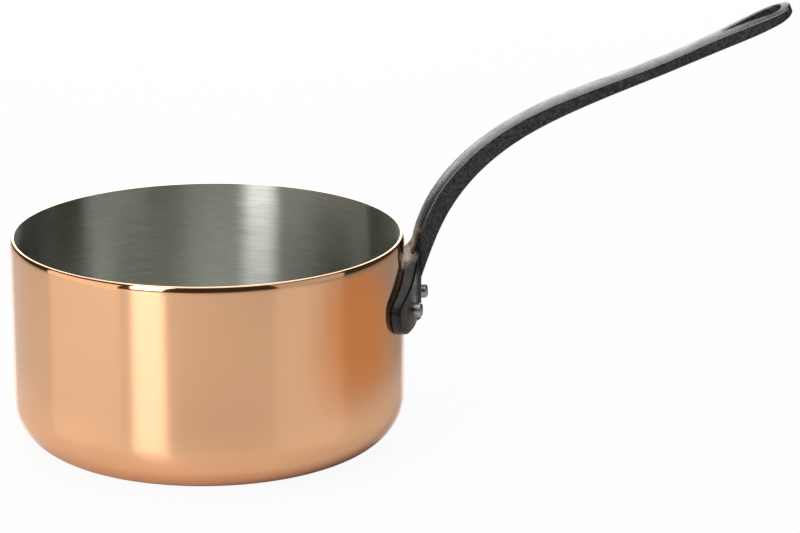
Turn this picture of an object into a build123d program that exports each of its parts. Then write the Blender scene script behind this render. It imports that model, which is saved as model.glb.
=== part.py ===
"""Two-metal saucepan with a riveted cast-iron handle.

The pan stands on the plane Z = 0 with its axis on Z, and the handle points along +X.
All sizes are in millimetres.
"""

import os
from math import acos, asin, cos, degrees, hypot, radians, sin, sqrt

from build123d import *

os.makedirs("parts", exist_ok=True)

# Pan
outer_diameter = 200.0
pan_height = 108.4
corner_radius = 25.0
copper_thickness = 1.8
lining_thickness = 0.2
rim_rounding = 0.6

# Flange that carries the handle on the pan wall
flange_width = 93.0
flange_height = 26.0
flange_drop = 20.2
flange_thickness = 6.9
flange_face_radius = 88.0
flange_shoulder_fall = 8.8
flange_shoulder_rise = 7.5
flange_lower_radius = 12.0
flange_upper_radius = 7.5
flange_back_rounding = 0.8
flange_front_rounding = 1.2
ridge_width = 18.0
ridge_thickness = 8.4
ridge_blend = 7.0

# Root, where the flange grows into the shaft and its back sweeps away from the wall
neck_width = 23.0
root_height = 15.0
root_flare = 11.0
root_gap = 6.9
root_sweep = 12.0

# Shaft
handle_reach = 197.4
handle_rise = 111.9
shaft_tilt = 23.0
shaft_drop = 23.5
shaft_depth = 10.0
shaft_width = 20.0
crown_radius = 42.0
blank_width = 34.0
top_rounding = 0.8
under_rounding = 1.4

# Hanging loop at the free end
loop_width = 22.0
slot_width = 13.6
slot_length = 34.0
slot_tip_wall = 4.6
slot_tip_radius = 0.8

# Rivets
rivet_diameter = 6.0
rivet_fit = 0.05
outer_head_diameter = 7.4
outer_head_height = 4.2
inner_head_diameter = 14.0
inner_head_height = 1.3
head_rounding_share = 0.4
side_rivet_spacing = 47.4
side_rivet_drop = 36.8
middle_rivet_drop = 34.2

overrun = 5.0

outer_radius = outer_diameter / 2
lining_radius = outer_radius - copper_thickness
bore_radius = lining_radius - lining_thickness
flange_middle = outer_radius + flange_thickness - flange_face_radius
ridge_front = outer_radius + ridge_thickness
flange_top = pan_height - flange_drop
flange_bottom = flange_top - flange_height
rivet_radius = rivet_diameter / 2
rivet_align = (Align.CENTER, Align.CENTER, Align.MIN)
tip_reach = outer_radius + handle_reach
tip_rise = pan_height + handle_rise
tilt_cos = cos(radians(shaft_tilt))
tilt_sin = sin(radians(shaft_tilt))

# Underside of the shaft seen from the side, as shares of the reach beyond the ridge
# and of the rise above the shaft's lowest point.
underside_shares = [
    (0.013, 0.086),
    (0.050, 0.189),
    (0.089, 0.285),
    (0.137, 0.374),
    (0.195, 0.453),
    (0.263, 0.523),
    (0.412, 0.636),
    (0.576, 0.729),
    (0.740, 0.819),
    (0.903, 0.929),
]

# Depth of the shaft along its middle, at shares of the underside's length, as shares of shaft_depth.
depth_shares = {
    0.00: 0.42,
    0.13: 1.07,
    0.27: 1.01,
    0.42: 0.88,
    0.60: 0.70,
    0.80: 0.71,
    1.00: 0.40,
}

# Width of the shaft seen square to its straight stretch, at shares of its length from
# the tip back to the flange, as shares of shaft_width.
width_shares = {
    0.18: 0.76,
    0.32: 0.74,
    0.44: 0.77,
    0.55: 0.79,
    0.68: 0.76,
    0.80: 0.84,
    0.90: 0.96,
    1.00: 1.16,
}


def shell_section(radius, lift, corner, thickness):
    """Half section of an open pan with a flat base, a round corner and a straight wall."""
    inner = radius - thickness
    foot = radius - corner
    with BuildSketch(Plane.XZ) as section:
        with BuildLine():
            Line((0, lift), (foot, lift))
            RadiusArc((foot, lift), (radius, lift + corner), -corner)
            Line((radius, lift + corner), (radius, pan_height))
            Line((radius, pan_height), (inner, pan_height))
            Line((inner, pan_height), (inner, lift + corner))
            RadiusArc((inner, lift + corner), (foot, lift + thickness), corner - thickness)
            Line((foot, lift + thickness), (0, lift + thickness))
            Line((0, lift + thickness), (0, lift))
        make_face()
    return section.sketch


def rivet_axis(sideways, drop):
    """Plane on the pan's axis that looks out along a rivet, through its height."""
    turn = degrees(asin(sideways / outer_radius))
    outward = Vector(1, 0, 0).rotate(Axis.Z, turn)
    return Plane(origin=(0, 0, pan_height - drop), x_dir=(0, 0, 1), z_dir=outward)


def distance_from(x, edge):
    """Distance of an edge's middle from the upright line through (x, 0)."""
    spot = edge @ 0.5
    return hypot(spot.X - x, spot.Y)


def drill_rivet_holes():
    """Cut the three rivet holes out of the part that is being built."""
    for place in rivet_places.values():
        with Locations(place):
            Cylinder(rivet_radius + rivet_fit, tip_reach, align=rivet_align, mode=Mode.SUBTRACT)


rivet_places = {
    "near": rivet_axis(-side_rivet_spacing / 2, side_rivet_drop),
    "middle": rivet_axis(0, middle_rivet_drop),
    "far": rivet_axis(side_rivet_spacing / 2, side_rivet_drop),
}


# Copper body
with BuildPart() as copper_body:
    revolve(shell_section(outer_radius, 0, corner_radius, copper_thickness), axis=Axis.Z)
    lips = copper_body.edges().filter_by(GeomType.CIRCLE).sort_by(Axis.Z)[-2:]
    fillet(lips.sort_by(SortBy.RADIUS)[-1], radius=rim_rounding)
    drill_rivet_holes()

# Stainless steel lining
with BuildPart() as steel_lining:
    revolve(
        shell_section(lining_radius, copper_thickness, corner_radius - copper_thickness, lining_thickness),
        axis=Axis.Z,
    )
    drill_rivet_holes()

# Shaft of the handle, with its hanging loop
with BuildPart() as shaft:
    low = (ridge_front, pan_height - shaft_drop)
    reach_span = tip_reach - ridge_front
    rise_span = tip_rise - low[1] - shaft_depth * depth_shares[1.0]
    high = (tip_reach + overrun * tilt_cos, low[1] + rise_span + overrun * tilt_sin)
    knots = [(low[0] + along * reach_span, low[1] + up * rise_span) for along, up in underside_shares]
    with BuildLine(Plane.XZ):
        underside = Spline(low, *knots, high, tangents=[(0, 1), (tilt_cos, tilt_sin)])
    half = blank_width / 2
    sag = crown_radius - sqrt(crown_radius**2 - half**2)
    for share, depth_share in depth_shares.items():
        depth = shaft_depth * depth_share
        with BuildSketch(Plane(origin=underside @ share, x_dir=(0, 1, 0), z_dir=underside % share)):
            with BuildLine():
                Line((-half, 0), (half, 0))
                Line((half, 0), (half, depth - sag))
                ThreePointArc((half, depth - sag), (0, depth), (-half, depth - sag))
                Line((-half, depth - sag), (-half, 0))
            make_face()
    loft()

    along_shaft = (tilt_cos, 0, tilt_sin)
    deck = Plane(origin=(tip_reach, 0, tip_rise), x_dir=along_shaft, z_dir=(-tilt_sin, 0, tilt_cos))
    below_deck = deck.offset(-tip_reach)
    root = deck.to_local_coords(Vector(low[0], 0, low[1])).X
    loop_radius = loop_width / 2
    with BuildSketch(below_deck):
        with BuildLine():
            side = [(root * share, shaft_width * wide / 2) for share, wide in width_shares.items()]
            Spline((-loop_radius, loop_radius), *side, tangents=[(-1, 0), (-1, 0)])
            RadiusArc((0, 0), (-loop_radius, loop_radius), -loop_radius)
            Polyline(side[-1], (root - overrun, side[-1][1]), (root - overrun, 0))
            mirror(about=Plane.XZ)
        make_face()
    extrude(amount=2 * tip_reach, mode=Mode.INTERSECT)
    slot_radius = slot_width / 2
    slot_middle = -slot_tip_wall - slot_radius
    slot_point = -slot_tip_wall - slot_length
    touch = acos(slot_radius / (slot_middle - slot_point))
    shoulder = (slot_middle - slot_radius * cos(touch), slot_radius * sin(touch))
    with BuildSketch(below_deck) as slot:
        with BuildLine():
            Line((slot_point, 0), shoulder)
            RadiusArc(shoulder, (slot_middle + slot_radius, 0), slot_radius)
            mirror(about=Plane.XZ)
        make_face()
        fillet(slot.vertices().sort_by(Axis.X)[0], radius=slot_tip_radius)
    extrude(amount=2 * tip_reach, mode=Mode.SUBTRACT)
    broad = shaft.faces().sort_by(SortBy.AREA)[-2:]
    sole, crown = broad.sort_by(Axis(deck.origin, deck.z_dir))
    fillet(crown.edges().filter_by(lambda edge: (edge @ 0.5).Z > flange_top), radius=top_rounding)
    fillet(sole.edges().filter_by(lambda edge: (edge @ 0.5).Z > flange_top), radius=under_rounding)

# Cast-iron handle: the flange, hollowed to the pan wall, and the shaft that rises from it
with BuildPart() as handle:
    with BuildSketch(Plane.YZ.offset(outer_radius / 2)):
        with BuildLine():
            FilletPolyline(
                (0, flange_bottom),
                (flange_width / 2, flange_bottom),
                (flange_width / 2, flange_top - flange_shoulder_fall),
                (neck_width / 2, flange_top + flange_shoulder_rise),
                (neck_width / 2, flange_top + root_height),
                (0, flange_top + root_height),
                radius=[flange_lower_radius, flange_upper_radius, root_flare, 0],
            )
            mirror(about=Plane.YZ)
        make_face()
    extrude(amount=outer_radius)
    ridge_half = ridge_width / 2
    blend_turn = asin((ridge_half + ridge_blend) / flange_face_radius)
    wing_turn = asin((flange_width / 2 + overrun) / flange_face_radius)
    wall_turn = asin((flange_width / 2 + overrun) / outer_radius)
    with BuildSketch(Plane.XY.offset(flange_bottom - overrun)):
        with BuildLine():
            blend_start = (ridge_front, ridge_half)
            blend_end = (
                flange_middle + flange_face_radius * cos(blend_turn),
                flange_face_radius * sin(blend_turn),
            )
            wing_end = (
                flange_middle + flange_face_radius * cos(wing_turn),
                flange_face_radius * sin(wing_turn),
            )
            wall_end = (outer_radius * cos(wall_turn), outer_radius * sin(wall_turn))
            Line((ridge_front, 0), blend_start)
            Spline(blend_start, blend_end, tangents=[(0, 1), (-sin(blend_turn), cos(blend_turn))])
            RadiusArc(blend_end, wing_end, -flange_face_radius)
            Line(wing_end, wall_end)
            RadiusArc(wall_end, (outer_radius, 0), outer_radius)
            mirror(about=Plane.XZ)
        make_face()
    extrude(amount=flange_height + root_height + 2 * overrun, mode=Mode.INTERSECT)
    front = flange_face_radius - flange_front_rounding
    fillet(
        handle.edges()
        .filter_by(lambda edge: distance_from(flange_middle, edge) > front)
        .filter_by(Axis.Z, reverse=True)
        .filter_by_position(Axis.Z, flange_bottom - overrun, flange_top + root_height - overrun),
        radius=flange_front_rounding,
    )
    fillet(
        handle.edges().filter_by(lambda edge: abs(distance_from(0, edge) - outer_radius) < rivet_fit),
        radius=flange_back_rounding,
    )
    sweep_radius = (root_gap**2 + root_sweep**2) / (2 * root_gap)
    sweep_foot = flange_top + root_height - root_sweep
    gap_top = flange_top + root_height + overrun
    with BuildSketch(Plane.XZ):
        with BuildLine():
            Line((outer_radius - overrun, sweep_foot), (outer_radius, sweep_foot))
            RadiusArc(
                (outer_radius, sweep_foot),
                (outer_radius + root_gap, sweep_foot + root_sweep),
                -sweep_radius,
            )
            Polyline(
                (outer_radius + root_gap, sweep_foot + root_sweep),
                (outer_radius + root_gap, gap_top),
                (outer_radius - overrun, gap_top),
                (outer_radius - overrun, sweep_foot),
            )
        make_face()
    revolve(axis=Axis.Z, mode=Mode.SUBTRACT)
    add(shaft.part)
    drill_rivet_holes()

# Rivets: a shank through all the layers, a broad low head inside and a button outside
def make_rivet(place, button_base):
    """One rivet along the given plane, its heads hollowed to the lining and the flange's face."""
    button = outer_head_diameter / 2
    button_top = button_base + outer_head_height
    rounding = outer_head_height * head_rounding_share
    rim = inner_head_diameter / 2
    rim_level = bore_radius - inner_head_height * head_rounding_share
    head_level = bore_radius - inner_head_height
    with BuildPart() as rivet:
        with BuildSketch(Plane(place.origin, x_dir=place.x_dir, z_dir=place.x_dir.cross(place.z_dir))):
            with BuildLine():
                Line((0, button_base), (button, button_base))
                Line((button, button_base), (button, button_top - rounding))
                RadiusArc((button, button_top - rounding), (button - rounding, button_top), -rounding)
                Line((button - rounding, button_top), (0, button_top))
                Line((0, button_top), (0, button_base))
            make_face()
            with BuildLine():
                Line((0, bore_radius), (rim, bore_radius))
                Line((rim, bore_radius), (rim, rim_level))
                ThreePointArc((rim, rim_level), (0, head_level), (-rim, rim_level))
                Line((-rim, rim_level), (-rim, bore_radius))
                Line((-rim, bore_radius), (0, bore_radius))
            make_face()
            split(bisect_by=Plane.YZ)
        revolve(axis=Axis(place.origin, place.z_dir))
        with BuildSketch():
            with Locations((flange_middle, 0)):
                Circle(flange_face_radius)
            Circle(bore_radius, mode=Mode.SUBTRACT)
        extrude(amount=pan_height, mode=Mode.SUBTRACT)
        with Locations(place.offset(head_level + inner_head_height / 2)):
            length = button_top - head_level - inner_head_height / 2 - rounding
            Cylinder(rivet_radius, length, align=rivet_align)
    return rivet


side_turn = asin(side_rivet_spacing / 2 / outer_radius)
side_face = flange_middle * cos(side_turn) + sqrt(
    flange_face_radius**2 - (flange_middle * sin(side_turn)) ** 2
)
head_sink = flange_face_radius - sqrt(flange_face_radius**2 - (outer_head_diameter / 2) ** 2)
side_base = side_face - 2 * head_sink
rivets = {
    "rivet_near": make_rivet(rivet_places["near"], side_base),
    "rivet_middle": make_rivet(rivet_places["middle"], ridge_front),
    "rivet_far": make_rivet(rivet_places["far"], side_base),
}

nodes = {"copper_body": copper_body, "steel_lining": steel_lining, "handle": handle, **rivets}
for name, piece in nodes.items():
    piece.part.label = name
    export_step(piece.part, f"parts/{name}.step")
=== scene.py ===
# %% [markdown]
# # A copper saucepan with a cast-iron handle
#
# The real pan is made of two metals that were rolled together: polished copper outside
# and a thin skin of stainless steel inside. Its handle is one iron casting, held to the
# wall by three steel rivets. This lesson starts from the measured solids of the pan and
# gives each metal the surface that it has on the real object. The solids could simply be
# painted, but the two pan walls are raised again by hand here, because a clean grid of
# faces reflects much better than the triangles of a solid model.

from math import cos, pi, radians, sin

import bmesh
import bpy
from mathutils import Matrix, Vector


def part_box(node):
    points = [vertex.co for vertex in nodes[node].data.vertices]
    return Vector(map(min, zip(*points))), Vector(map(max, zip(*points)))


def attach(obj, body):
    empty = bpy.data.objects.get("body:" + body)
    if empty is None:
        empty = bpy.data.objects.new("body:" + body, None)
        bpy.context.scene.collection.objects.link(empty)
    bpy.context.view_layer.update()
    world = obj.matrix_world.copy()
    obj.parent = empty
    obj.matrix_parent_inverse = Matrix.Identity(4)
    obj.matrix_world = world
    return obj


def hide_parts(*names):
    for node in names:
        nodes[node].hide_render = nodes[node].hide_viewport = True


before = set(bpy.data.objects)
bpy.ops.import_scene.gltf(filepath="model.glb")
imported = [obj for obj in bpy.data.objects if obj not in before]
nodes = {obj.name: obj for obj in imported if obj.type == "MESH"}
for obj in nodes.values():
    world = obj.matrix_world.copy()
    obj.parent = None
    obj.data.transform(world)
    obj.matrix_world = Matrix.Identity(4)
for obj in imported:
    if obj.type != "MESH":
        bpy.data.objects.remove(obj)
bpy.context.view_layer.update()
print("solids:", sorted(nodes))

# %% [markdown]
# ## Sizes that the lesson reads from the solids
#
# Nothing is measured twice. The pan's radius and height come from the box round the
# copper, and the thickness of the copper comes from the step between the boxes round the
# copper and the lining. Only the lining's own thickness has to be given, because a box
# round a hollow thing says nothing about its inside.

# %% Read the pan's sizes
copper_low, copper_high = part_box("copper_body")
lining_low, lining_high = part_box("steel_lining")

pan_radius = copper_high.y
pan_height = copper_high.z
copper_thickness = lining_low.z
lining_radius = lining_high.y
lining_thickness = 0.0002
print("pan radius and height:", round(pan_radius, 4), round(pan_height, 4))
print("copper and lining:", round(copper_thickness, 4), lining_thickness)

# %% [markdown]
# ## The camera
#
# A long lens far away gives the calm perspective of a product photograph. The camera
# stands about 1.9 m from the pan, 17 degrees above the table, and turned a few degrees
# from square to the handle. It looks past the pan's middle, so that the long handle
# fits in the frame beside the pan. The same picture could be made with a lens shift, but
# a real photographer would simply aim beside the pan, and that is what is done here.

# %% Place the camera
camera_distance = 1.884
camera_height_angle = radians(17.06)
camera_turn = radians(3.0)
look_down = radians(16.021)
look_aside = radians(6.114)
lens_length = 165.3
sensor_width = 36.0

camera_data = bpy.data.cameras.new("camera")
camera_data.lens = lens_length
camera_data.sensor_width = sensor_width
camera = bpy.data.objects.new("camera", camera_data)
bpy.context.scene.collection.objects.link(camera)
ground_distance = camera_distance * cos(camera_height_angle)
camera.location = (
    -ground_distance * sin(camera_turn),
    -ground_distance * cos(camera_turn),
    pan_height / 2 + camera_distance * sin(camera_height_angle),
)
camera.rotation_euler = (pi / 2 - look_down, 0, -look_aside)
bpy.context.scene.camera = camera
print("camera at:", [round(place, 3) for place in camera.location])

# %% [markdown]
# ## Short ways to write shader nodes
#
# A material is a small graph. It could be built by hand in the shader editor, or with
# one line of code for each node, setting and link. Both are slow to read. These helpers
# make a node, fill its sockets and link it in one line, so that a material's code reads
# like the sentence that describes it.

# %% Helpers for shader nodes
def feed(tree, socket, value):
    """Link a socket to the output that is given, or set it to a plain value."""
    if isinstance(value, bpy.types.NodeSocket):
        tree.links.new(value, socket)
    else:
        socket.default_value = value


def add_node(tree, kind, sockets=None, **settings):
    """Add a shader node with its settings, and feed its sockets."""
    node = tree.nodes.new("ShaderNode" + kind)
    for name, value in settings.items():
        setattr(node, name, value)
    for socket, value in (sockets or {}).items():
        feed(tree, node.inputs[socket], value)
    return node


def new_material(name, metallic=0.0):
    """A material with its node tree and its Principled shader."""
    material = bpy.data.materials.new(name)
    material.use_nodes = True
    surface = material.node_tree.nodes["Principled BSDF"]
    surface.inputs["Metallic"].default_value = metallic
    return material, material.node_tree, surface


print("node helpers ready")

# %% [markdown]
# ## Sums, ramps and blends
#
# Most of the work in these materials is arithmetic: a distance is turned into a share
# between 0 and 1, and the share blends two colours. Each helper takes plain values or
# the outputs of other nodes, and hands back an output.

# %% Helpers for sums, ramps and blends
def maths(tree, operation, *numbers):
    """The result of a sum on one or two numbers."""
    node = add_node(tree, "Math", dict(enumerate(numbers)), operation=operation)
    return node.outputs["Value"]


def vector_maths(tree, operation, *vectors):
    """The outputs of a sum on one or two vectors."""
    node = add_node(tree, "VectorMath", dict(enumerate(vectors)), operation=operation)
    return node.outputs


def ramp(tree, driver, start, stop, low=0.0, high=1.0, shape="LINEAR"):
    """A number that runs from low to high while the driver runs from start to stop."""
    sockets = {
        "Value": driver,
        "From Min": start,
        "From Max": stop,
        "To Min": low,
        "To Max": high,
    }
    return add_node(tree, "MapRange", sockets, interpolation_type=shape).outputs["Result"]


def soft_ramp(tree, driver, start, stop):
    """A share from 0 to 1 that starts and ends gently."""
    return ramp(tree, driver, start, stop, shape="SMOOTHSTEP")


def blend_colours(tree, share, first, second):
    """The first colour where the share is 0, the second where it is 1."""
    sockets = {"Factor": share, "A": first, "B": second}
    return add_node(tree, "Mix", sockets, data_type="RGBA").outputs["Result"]


print("arithmetic helpers ready")

# %% [markdown]
# ## The table
#
# The pan stands on a sheet of glossy white acrylic. It is only a flat sheet, so a plane
# is enough. Blender's operators act on whatever is selected, and the loaded solids start
# out selected, so the selection is cleared before anything is added.

# %% Lay the table
table_size = 8.0


def deselect_all():
    """Leave edit mode and select nothing."""
    if bpy.context.object and bpy.context.object.mode != "OBJECT":
        bpy.ops.object.mode_set(mode="OBJECT")
    bpy.ops.object.select_all(action="DESELECT")


deselect_all()
bpy.ops.mesh.primitive_plane_add(size=table_size)
table = bpy.context.object
table.name = "table"
acrylic, tree, surface = new_material("white_acrylic")
table.data.materials.append(acrylic)
print("table:", table_size, "m square")

# %% [markdown]
# ## What the copper sees of the table
#
# The table matters more than one would think: the camera looks down on the pan, so the
# upright copper wall shows the table and not the room. An evenly white table would give
# flat copper. So light and shade are painted into the tone that a mirror sees: a painted
# pool of light round the pan, painted shade behind it, and painted warm light on the
# handle's side, such as a studio table takes from whatever stands near. The tone is mixed
# from these three.

# %% Tone the table for mirrors
# The tones below are painted light and shade, and only mirror rays see them.
pool_radius, pool_fade = 0.125, 0.1
painted_pool_tone = (0.99, 0.99, 0.99, 1)
clear_tone = (0.9, 0.9, 0.92, 1)
painted_shade_tone = (0.5, 0.5, 0.5, 1)
dim_direction = Vector((1, 1, 0)).normalized()
dim_start, dim_end = 0.0, 0.3
painted_warm_tone = (0.8, 0.49, 0.28, 1)
warm_spot = Vector((0.33, -0.05, 0))
warm_radius, warm_fade = 0.06, 0.18

place = add_node(tree, "TexCoord").outputs["Object"]
toward_dim = vector_maths(tree, "DOT_PRODUCT", place, dim_direction)["Value"]
from_warm_spot = vector_maths(tree, "DISTANCE", place, warm_spot)["Value"]
from_pan = vector_maths(tree, "LENGTH", place)["Value"]
dimness = soft_ramp(tree, toward_dim, dim_start, dim_end)
coolness = soft_ramp(tree, from_warm_spot, warm_radius, warm_radius + warm_fade)
openness = soft_ramp(tree, from_pan, pool_radius, pool_radius + pool_fade)
cool_side = blend_colours(tree, dimness, clear_tone, painted_shade_tone)
far_tone = blend_colours(tree, coolness, painted_warm_tone, cool_side)
mirrored_tone = blend_colours(tree, openness, painted_pool_tone, far_tone)
print("pool of light:", pool_radius, "m in radius")

# %% [markdown]
# ## What the camera sees of the table
#
# The camera itself should see plain white, so the light path chooses what a ray gets. A
# mirror ray gets the glossy acrylic, whose own reflection of the lamps draws the soft
# upright bands on the copper. A camera ray gets nearly pure white, with just enough of
# the shaded surface left to ground the pan.

# %% Choose by the kind of ray
matte_tone = (0.95, 0.95, 0.95, 1)
matte_roughness, gloss_roughness = 0.9, 0.3
glow_share = 0.94

paths = add_node(tree, "LightPath").outputs
mirror_ray = paths["Is Glossy Ray"]
roughness = ramp(tree, mirror_ray, 0, 1, matte_roughness, gloss_roughness)
tone = blend_colours(tree, mirror_ray, matte_tone, mirrored_tone)
feed(tree, surface.inputs["Roughness"], roughness)
feed(tree, surface.inputs["Base Color"], tone)
white = add_node(tree, "Emission", {"Strength": 1.0}).outputs["Emission"]
white_share = maths(tree, "MULTIPLY", paths["Is Camera Ray"], glow_share)
shown = add_node(tree, "MixShader", {0: white_share, 1: surface.outputs["BSDF"], 2: white})
feed(tree, tree.nodes["Material Output"].inputs["Surface"], shown.outputs["Shader"])
print("table material:", acrylic.name, "nodes:", len(tree.nodes))

# %% [markdown]
# ## The studio lights
#
# Metal shows its surroundings, so the lamps are placed by the reflections that they
# make. A narrow strip box left of the camera gives the bright band on the copper, a wide
# box on each side fills the rest, a wall behind lights the rim and the top of the
# handle, and one box overhead softens everything. Each lamp is described by how bright
# its cloth looks, because that is what a mirror shows, and its power follows from that
# brightness and its area.

# %% Hang the softboxes
lamp_aim = Vector((0, 0, pan_height / 2))


def softbox(name, azimuth, height_angle, distance, size, brightness, tint=(1, 1, 1)):
    """Hang a lamp that faces the pan. Azimuth 0 is the camera's side, right is positive."""
    width, height = size
    light = bpy.data.lights.new(name, "AREA")
    light.shape = "RECTANGLE"
    light.size = width
    light.size_y = height
    light.energy = pi * width * height * brightness
    light.color = tint
    lamp = bpy.data.objects.new(name, light)
    turn = radians(azimuth) - camera_turn
    lift = radians(height_angle)
    direction = Vector((sin(turn) * cos(lift), -cos(turn) * cos(lift), sin(lift)))
    lamp.location = lamp_aim + distance * direction
    lamp.rotation_euler = direction.to_track_quat("Z", "Y").to_euler()
    bpy.context.scene.collection.objects.link(lamp)
    print(name, "at azimuth", azimuth, "power", round(light.energy, 1), "W")


warm_cloth = (1, 0.92, 0.84)
cool_cloth = (0.95, 0.98, 1)
softbox(
    "key_strip", azimuth=-34.2, height_angle=25, distance=1.6, size=(0.53, 1.25), brightness=5.4
)
softbox(
    "left_fill", azimuth=-76, height_angle=6, distance=1.5, size=(1.4, 0.9), brightness=1.0,
    tint=warm_cloth,
)
softbox(
    "right_fill", azimuth=60, height_angle=15, distance=1.6, size=(1.3, 1.0), brightness=0.48,
    tint=cool_cloth,
)
softbox(
    "back_wall", azimuth=180, height_angle=22, distance=1.8, size=(1.6, 1.3), brightness=2.4
)
softbox(
    "overhead", azimuth=0, height_angle=88, distance=1.5, size=(2.0, 2.0), brightness=1.4
)

# %% [markdown]
# ## The room around
#
# The camera sees a white room. The metals see a dim and slightly warm one, or they would
# look flat: a mirror in an evenly white room has no form at all.

# %% Set the room's brightness
level_for_metal, level_for_camera = 0.04, 1.0
tint_for_metal = (1, 0.86, 0.74, 1)
tint_for_camera = (1, 1, 1, 1)

room = bpy.data.worlds.new("studio")
bpy.context.scene.world = room
room.use_nodes = True
tree = room.node_tree
backdrop = tree.nodes["Background"].inputs
seen = add_node(tree, "LightPath").outputs["Is Camera Ray"]
feed(tree, backdrop["Strength"], ramp(tree, seen, 0, 1, level_for_metal, level_for_camera))
feed(tree, backdrop["Color"], blend_colours(tree, seen, tint_for_metal, tint_for_camera))
bpy.context.scene.view_settings.view_transform = "Standard"
print("room:", room.name, "level for the metals:", level_for_metal)

# %% [markdown]
# ## Marks of turning and polishing
#
# A pan like this is spun and polished on a lathe, so every fine mark runs round its
# axis. The marks could be drawn with a wave texture, but real ones are uneven in depth
# and length. Noise that is stretched along the circle does this better. The pattern is
# read along the pan's own profile, which is the height on the wall and the radius on
# the base, so the same marks run on through the round corner. Copper and steel both use
# it, each with its own spacing, so it is built once as a node group.

# %% Build the turning marks
def new_group(name, inputs, outputs):
    """An empty shader group with number sockets, and its two end nodes."""
    group = bpy.data.node_groups.new(name, "ShaderNodeTree")
    number = "NodeSocketFloat"
    for socket, value in inputs.items():
        made = group.interface.new_socket(name=socket, in_out="INPUT", socket_type=number)
        made.default_value = value
    for socket in outputs:
        group.interface.new_socket(name=socket, in_out="OUTPUT", socket_type=number)
    start = group.nodes.new("NodeGroupInput")
    end = group.nodes.new("NodeGroupOutput")
    return group, start.outputs, end.inputs


line_coarseness, band_coarseness = 1.0, 9.0

turning_marks, start, end = new_group(
    "turning_marks", {"Line Spacing": 0.0005, "Breaks Round": 4.0}, ["Lines", "Bands"]
)
tree = turning_marks
place = add_node(tree, "TexCoord").outputs["Object"]
split = add_node(tree, "SeparateXYZ", {"Vector": place}).outputs
flat = add_node(tree, "CombineXYZ", {"X": split["X"], "Y": split["Y"]}).outputs["Vector"]
heading = vector_maths(tree, "NORMALIZE", flat)["Vector"]
round_pan = add_node(
    tree, "VectorMath", {0: heading, "Scale": start["Breaks Round"]}, operation="SCALE"
)
profile = maths(tree, "ADD", split["Z"], vector_maths(tree, "LENGTH", flat)["Value"])
for output, coarseness in (("Lines", line_coarseness), ("Bands", band_coarseness)):
    spacing = maths(tree, "MULTIPLY", start["Line Spacing"], coarseness)
    count = maths(tree, "DIVIDE", profile, spacing)
    lift = add_node(tree, "CombineXYZ", {"Z": count}).outputs["Vector"]
    spot = vector_maths(tree, "ADD", round_pan.outputs["Vector"], lift)["Vector"]
    look = {"Vector": spot, "Scale": 1.0, "Detail": 3.0, "Roughness": 0.6}
    noise = add_node(tree, "TexNoise", look).outputs["Fac"]
    feed(tree, end[output], noise)
print("group:", turning_marks.name, "nodes:", len(turning_marks.nodes))

# %% [markdown]
# ## Grain and patches
#
# A sand casting keeps the grain of its mould, and handling leaves patches that are a
# little smoother or duller than the rest. Forged rivets show the same on a finer scale.
# One group gives both: a fine noise for the grain, and a broad one for the patches.

# %% Build the grain
grain_detail, patch_detail = 4.0, 2.0

cast_grain, start, end = new_group(
    "cast_grain", {"Grain Size": 0.001, "Patch Size": 0.012}, ["Grain", "Patches"]
)
tree = cast_grain
place = add_node(tree, "TexCoord").outputs["Object"]
for output, size, detail in (
    ("Grain", start["Grain Size"], grain_detail),
    ("Patches", start["Patch Size"], patch_detail),
):
    fineness = maths(tree, "DIVIDE", 1.0, size)
    look = {"Vector": place, "Scale": fineness, "Detail": detail, "Roughness": 0.55}
    noise = add_node(tree, "TexNoise", look).outputs["Fac"]
    feed(tree, end[output], noise)
print("group:", cast_grain.name, "nodes:", len(cast_grain.nodes))

# %% [markdown]
# ## Putting a pattern on a surface
#
# Every metal below takes the same few steps: it places a group with its own sizes, lets
# the noise vary the colour and the roughness, and lets it tilt the surface as a bump.
# Noise seldom leaves the range from 0.3 to 0.7, so that range is stretched over the
# whole difference between the two looks.

# %% Helpers for patterns
noise_low, noise_high = 0.3, 0.7


def add_group(tree, group, sizes):
    """Place a group in a material with its sizes, and hand back its outputs."""
    return add_node(tree, "Group", sizes, node_tree=group).outputs


def vary(tree, noise, low, high):
    """Turn a noise value into a number between low and high."""
    return ramp(tree, noise, noise_low, noise_high, low, high)


def vary_colour(tree, noise, first, second):
    """Blend two colours by a noise value."""
    return blend_colours(tree, vary(tree, noise, 0, 1), first, second)


def add_bump(tree, surface, height, depth, strength):
    """Let a height in the pattern tilt the surface, with its depth in metres."""
    sockets = {"Strength": strength, "Distance": depth, "Height": height}
    bump = add_node(tree, "Bump", sockets)
    feed(tree, surface.inputs["Normal"], bump.outputs["Normal"])


print("pattern helpers ready")

# %% [markdown]
# ## Copper
#
# Polished copper is a mirror with a warm tint. Most of what one sees on it is the
# studio, so the material needs the tint, a low roughness, and the very faint marks of
# the polishing wheel that keep a real polish from looking like plastic. The wheel's
# marks run round the pan, and so they smear each highlight a little up and down.

# %% Mix the copper
copper_light, copper_deep = (0.945, 0.545, 0.31, 1), (0.92, 0.525, 0.295, 1)
polish_finest, polish_dullest = 0.07, 0.1
wheel_mark_depth, wheel_mark_strength = 0.000002, 0.5
copper_stretch = 0.4
quarter_turn = 0.25


def turned_metal(tree, surface, anisotropy):
    """Stretch the highlights of a lathe-polished metal along its axis."""
    surface.inputs["Anisotropic"].default_value = anisotropy
    surface.inputs["Anisotropic Rotation"].default_value = quarter_turn
    tangent = add_node(tree, "Tangent", direction_type="RADIAL", axis="Z")
    feed(tree, surface.inputs["Tangent"], tangent.outputs["Tangent"])


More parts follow.
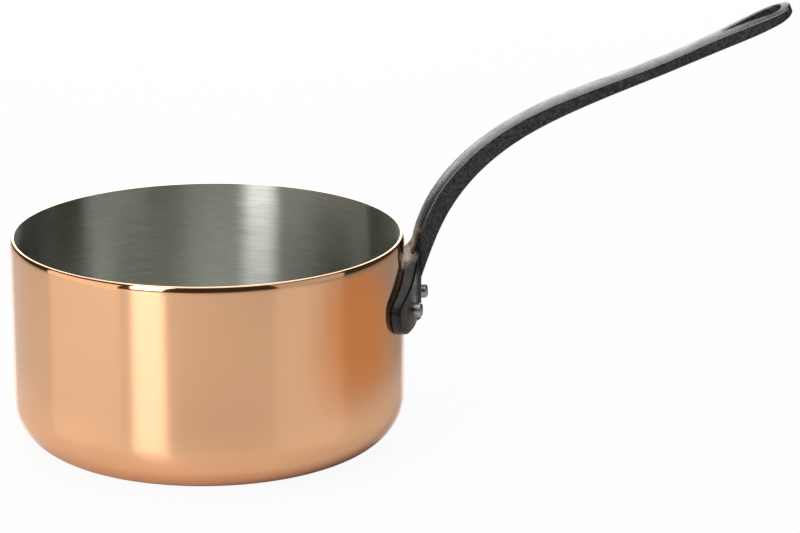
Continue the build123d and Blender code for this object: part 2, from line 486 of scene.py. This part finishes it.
copper, tree, surface = new_material("polished_copper", metallic=1.0)
marks = add_group(tree, turning_marks, {"Line Spacing": 0.0006, "Breaks Round": 5.0})
smears = add_group(tree, cast_grain, {"Grain Size": 0.02, "Patch Size": 0.06})
tint = vary_colour(tree, smears["Patches"], copper_light, copper_deep)
roughness = vary(tree, smears["Grain"], polish_finest, polish_dullest)
feed(tree, surface.inputs["Base Color"], tint)
feed(tree, surface.inputs["Roughness"], roughness)
add_bump(tree, surface, marks["Lines"], wheel_mark_depth, wheel_mark_strength)
turned_metal(tree, surface, copper_stretch)
print("material:", copper.name)

# %% [markdown]
# ## Stainless steel
#
# The lining is brushed and not polished, so it has no clear reflections. Each bright
# lamp becomes a tall soft streak, because the brushing runs round the wall. Strong
# anisotropy gives the streaks, and the turning marks give the fine lines in them.

# %% Mix the steel
steel_dark, steel_light = (0.5, 0.515, 0.47, 1), (0.66, 0.675, 0.625, 1)
brushing_finest, brushing_dullest = 0.29, 0.36
brush_mark_depth, brush_mark_strength = 0.000008, 0.4
steel_stretch = 0.97

steel, tree, surface = new_material("brushed_steel", metallic=1.0)
marks = add_group(tree, turning_marks, {"Line Spacing": 0.0005, "Breaks Round": 6.0})
tint = vary_colour(tree, marks["Lines"], steel_dark, steel_light)
roughness = vary(tree, marks["Bands"], brushing_finest, brushing_dullest)
feed(tree, surface.inputs["Base Color"], tint)
feed(tree, surface.inputs["Roughness"], roughness)
add_bump(tree, surface, marks["Lines"], brush_mark_depth, brush_mark_strength)
turned_metal(tree, surface, steel_stretch)
print("material:", steel.name)

# %% [markdown]
# ## Cast iron: its relief and gloss
#
# The handle is black iron, straight from the mould and then waxed. The grain of the sand
# is a bump, and patches of wear change the gloss. On the shaft the grinding belt has
# added short marks, which run across it, so they are noise that is stretched at the
# shaft's own tilt. They could be modelled, but they are far too shallow to show in an
# outline.

# %% Start the iron
iron_reflection = 0.35
iron_glossy, iron_dull = 0.2, 0.36
relief_depth, relief_strength = 0.00025, 0.5
shaft_tilt = radians(23.0)
belt_fineness = (900, 120, 90)
belt_start, belt_end = 0.14, 0.2
belt_share = 0.5

iron, tree, surface = new_material("cast_iron")
surface.inputs["Specular IOR Level"].default_value = iron_reflection
grain = add_group(tree, cast_grain, {"Grain Size": 0.0014, "Patch Size": 0.008})
place = add_node(tree, "TexCoord").outputs["Object"]
where = add_node(tree, "SeparateXYZ", {"Vector": place}).outputs
layout = {"Vector": place, "Rotation": (0, shaft_tilt, 0), "Scale": belt_fineness}
along = add_node(tree, "Mapping", layout).outputs["Vector"]
belt = add_node(tree, "TexNoise", {"Vector": along, "Scale": 1.0, "Detail": 2.0}).outputs["Fac"]
on_shaft = ramp(tree, where["X"], belt_start, belt_end, high=belt_share)
relief = maths(tree, "ADD", grain["Grain"], maths(tree, "MULTIPLY", belt, on_shaft))
add_bump(tree, surface, relief, relief_depth, relief_strength)
roughness = vary(tree, grain["Patches"], iron_glossy, iron_dull)
feed(tree, surface.inputs["Roughness"], roughness)
print("belt marks start at", belt_start, "m from the pan's middle")

# %% [markdown]
# ## Cast iron: grain and painted shade
#
# The iron is almost black where nothing shines on it, and greyer on the tops of its
# grain. The sunk face of the flange gets painted shade, a near black that makes the hollow
# darker than the edge around it. That face is a cylinder, and a point's distance from the
# cylinder's axis tells whether the point lies there.

# %% Shade the iron
iron_hollow, iron_crest = (0.01, 0.0105, 0.011, 1), (0.056, 0.057, 0.058, 1)
grain_hollow, grain_crest = 0.38, 0.66
# painted shade: the near black that is laid on the flange's sunk face
painted_shade_black = (0.003, 0.0031, 0.0032, 1)
flange_axis = (0.0189, 0, 0)
flange_face_radius = 0.0882
shade_start, shade_end = 0.0006, 0.003
level = (1, 1, 0)

crest_share = ramp(tree, grain["Grain"], grain_hollow, grain_crest)
bare_iron = blend_colours(tree, crest_share, iron_hollow, iron_crest)
from_axis = vector_maths(tree, "SUBTRACT", place, flange_axis)["Vector"]
level_part = vector_maths(tree, "MULTIPLY", from_axis, level)["Vector"]
axis_distance = vector_maths(tree, "LENGTH", level_part)["Value"]
above_face = maths(tree, "SUBTRACT", axis_distance, flange_face_radius)
off_face = maths(tree, "ABSOLUTE", above_face)
unshaded_share = ramp(tree, off_face, shade_start, shade_end)
iron_shade = blend_colours(tree, unshaded_share, painted_shade_black, bare_iron)
# The distance printed here is how far the painted shade reaches from the flange's face.
print("wax lies within", shade_end, "m of the flange's face")

# %% [markdown]
# ## Cast iron: painted edge highlight
#
# A highlight is painted along the shaft's upper edges, as a lighter grey where the rounded
# edge would catch a lamp. The edges could be found with a bevel node, but that is slow.
# Here they are found by how the surface faces: it leans sideways more than the crowned top
# does, and less than the upright sides. The flange is left out.

# %% Paint the edge highlight and finish the iron
# painted highlight: a light grey on the shaft's upper edges, for the gleam of the rounded edge
painted_highlight_tone = (0.38, 0.38, 0.38, 1)
facing_up = (0.25, 0.45)
leaning_enough = (0.5, 0.65)
leaning_too_far = (0.8, 0.93)
above_flange = (0.093, 0.1)

normal = add_node(tree, "NewGeometry").outputs["Normal"]
facing = add_node(tree, "SeparateXYZ", {"Vector": normal}).outputs
lean = maths(tree, "ABSOLUTE", facing["Y"])
highlight_share = ramp(tree, facing["Z"], *facing_up)
for share in (
    ramp(tree, lean, *leaning_enough),
    ramp(tree, lean, *leaning_too_far, low=1, high=0),
    ramp(tree, where["Z"], *above_flange),
):
    highlight_share = maths(tree, "MULTIPLY", highlight_share, share)
highlighted_iron = blend_colours(tree, highlight_share, iron_shade, painted_highlight_tone)
feed(tree, surface.inputs["Base Color"], highlighted_iron)
print("material:", iron.name, "nodes:", len(tree.nodes))

# %% [markdown]
# ## Rivet steel
#
# The rivets are plain steel, hammered over cold. Their heads are bright where the
# hammer burnished them and duller elsewhere, with a fine grain all over.

# %% Mix the rivet steel
rivet_dark, rivet_light = (0.3, 0.31, 0.31, 1), (0.5, 0.5, 0.49, 1)
rivet_burnished, rivet_dull = 0.22, 0.4
hammer_depth, hammer_strength = 0.00012, 0.5

rivet_steel, tree, surface = new_material("rivet_steel", metallic=1.0)
grain = add_group(tree, cast_grain, {"Grain Size": 0.0009, "Patch Size": 0.003})
tint = vary_colour(tree, grain["Patches"], rivet_dark, rivet_light)
roughness = vary(tree, grain["Grain"], rivet_burnished, rivet_dull)
feed(tree, surface.inputs["Base Color"], tint)
feed(tree, surface.inputs["Roughness"], roughness)
add_bump(tree, surface, grain["Grain"], hammer_depth, hammer_strength)
print("material:", rivet_steel.name)

# %% [markdown]
# ## Helpers for modelling by hand
#
# Edit-mode operators act on what is selected there, so one helper selects edges by where
# they lie. The other one ends a piece: it names the object, gives it its metal, leaves
# it at the origin with its place in its mesh, hangs it on the root body, and hides the
# solid that it replaces.

# %% Helpers for selecting edges and finishing a piece
def select_edges(wanted):
    """Select the edges of the mesh in edit mode for which the test holds."""
    bpy.ops.mesh.select_mode(type="EDGE")
    bpy.ops.mesh.select_all(action="DESELECT")
    mesh = bmesh.from_edit_mesh(bpy.context.object.data)
    for edge in mesh.edges:
        edge.select_set(wanted(edge))
    mesh.select_flush_mode()
    bmesh.update_edit_mesh(bpy.context.object.data)


def finish_piece(name, stands_for, material):
    """Name the active object, give it its material, hang it on the root body and hide the solid
    it replaces.
    """
    deselect_all()
    piece = bpy.context.object
    piece.select_set(True)
    piece.name = name
    piece.data.name = name
    piece.data.materials.clear()
    piece.data.materials.append(material)
    bpy.ops.object.transform_apply(location=True, rotation=True, scale=True)
    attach(piece, "root")
    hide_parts(stands_for)
    print(name, "faces:", len(piece.data.polygons))


print("modelling helpers ready")

# %% [markdown]
# ## The rings of a turned wall
#
# Both walls of the pan are the same kind of turned shell: a flat base, a quarter circle
# at the lower corner, and a straight wall up to the rim. The shell is raised ring by
# ring, so its profile is worked out first as a list of rings. They lie closest in the
# corner and near the lip, where a mirror finish would show every flat.

# %% Work out the rings
corner_steps = 24
wall_steps = 8
lip_steps = 12
lip_height = 0.0042
corner_radius = 0.025


def quarter(steps):
    """The angles of the steps of a quarter turn, its start left out."""
    return [pi / 2 * step / steps for step in range(1, steps + 1)]


def shell_rings(radius, lift, corner):
    """Radius and height above the base of each ring, from the corner's start to the rim."""
    foot = radius - corner
    wall_height = pan_height - lip_height - lift - corner
    wall_top = corner + wall_height
    rings = []
    for turn in quarter(corner_steps):
        rings.append((foot + corner * sin(turn), corner * (1 - cos(turn))))
    for step in range(1, wall_steps + 1):
        rings.append((radius, corner + wall_height * step / wall_steps))
    for turn in quarter(lip_steps):
        rings.append((radius, wall_top + lip_height * sin(turn)))
    return rings


print("rings in a wall:", len(shell_rings(pan_radius, 0, corner_radius)))

# %% [markdown]
# ## Raising a turned wall
#
# A round disc is the flat of the base, and one inset gives it a tidy last ring. Its edge
# is then extruded from ring to ring, and each new ring is widened to its radius.
# Solidify gives the sheet its thickness, inwards. The same shape could be spun from a
# profile, but that leaves a pinched pole of thin triangles in the middle of the base,
# where a mirror finish would show it.

# %% A function that raises a turned shell
steps_round = 256


def turned_shell(radius, lift, corner, thickness):
    """Raise a flat-based round shell ring by ring from a disc, and thicken it inwards."""
    foot = radius - corner
    deselect_all()
    bpy.ops.mesh.primitive_circle_add(
        vertices=steps_round, radius=foot, fill_type="NGON", location=(0, 0, lift)
    )
    bpy.ops.object.mode_set(mode="EDIT")
    bpy.ops.mesh.select_mode(type="FACE")
    bpy.ops.mesh.select_all(action="SELECT")
    bpy.ops.mesh.inset(thickness=corner / corner_steps)
    select_edges(lambda edge: edge.is_boundary)
    last_radius, last_height = foot, 0
    for ring_radius, ring_height in shell_rings(radius, lift, corner):
        rise = (0, 0, ring_height - last_height)
        growth = ring_radius / last_radius
        bpy.ops.mesh.extrude_region_move(TRANSFORM_OT_translate={"value": rise})
        bpy.ops.transform.resize(value=(growth, growth, 1))
        last_radius, last_height = ring_radius, ring_height
    bpy.ops.mesh.select_all(action="SELECT")
    bpy.ops.mesh.normals_make_consistent(inside=False)
    bpy.ops.object.mode_set(mode="OBJECT")
    wall = bpy.context.object.modifiers.new("wall", "SOLIDIFY")
    wall.thickness = thickness
    wall.offset = -1
    wall.use_even_offset = True
    bpy.ops.object.modifier_apply(modifier="wall")
    print("shell raised to", round(last_height + lift, 4), "m")


# %% [markdown]
# ## The copper shell
#
# The copper is nearly 2 mm thick, and its outer lip is eased over the last 4 mm, which
# is what catches the thin dark and bright lines just under the rim. A bevel would round
# it evenly, but a polished lip is longer than it is deep. So the wall's last rings are
# drawn in one by one, along a quarter of an ellipse, and the inside stays straight.

# %% Raise the copper shell
lip_depth = 0.0012
near = 0.00001
sharp_angle = radians(30)


def on_outer_ring(edge, height):
    """Whether an edge lies on the outside of the copper wall, in the ring at a height."""
    return all(
        abs(end.co.z - height) < near and end.co.xy.length > pan_radius - copper_thickness / 2
        for end in edge.verts
    )


turned_shell(pan_radius, 0, corner_radius, copper_thickness)
bpy.ops.object.mode_set(mode="EDIT")
for turn in quarter(lip_steps):
    height = pan_height - lip_height * (1 - sin(turn))
    shrink = 1 - lip_depth * (1 - cos(turn)) / pan_radius
    select_edges(lambda edge: on_outer_ring(edge, height))
    bpy.ops.transform.resize(value=(shrink, shrink, 1))
bpy.ops.object.mode_set(mode="OBJECT")
bpy.ops.object.shade_smooth_by_angle(angle=sharp_angle)
finish_piece("copper_shell", "copper_body", copper)

# %% [markdown]
# ## The steel skin
#
# The lining is a fifth of a millimetre of steel that follows the copper exactly, so it
# is raised by the same function, one copper thickness further in.

# %% Raise the steel skin
lining_corner = corner_radius - copper_thickness

turned_shell(lining_radius, copper_thickness, lining_corner, lining_thickness)
bpy.ops.object.shade_smooth_by_angle(angle=sharp_angle)
finish_piece("steel_skin", "steel_lining", steel)

# %% [markdown]
# ## The handle and the rivets
#
# These solids already have their true shape and their rounded edges, so they are kept as
# they are and only get their metals.

# %% Give the solids their metals
metals = {
    "handle": iron,
    "rivet_near": rivet_steel,
    "rivet_middle": rivet_steel,
    "rivet_far": rivet_steel,
}
for name, metal in metals.items():
    nodes[name].data.materials.clear()
    nodes[name].data.materials.append(metal)
    print(name, "gets", metal.name)
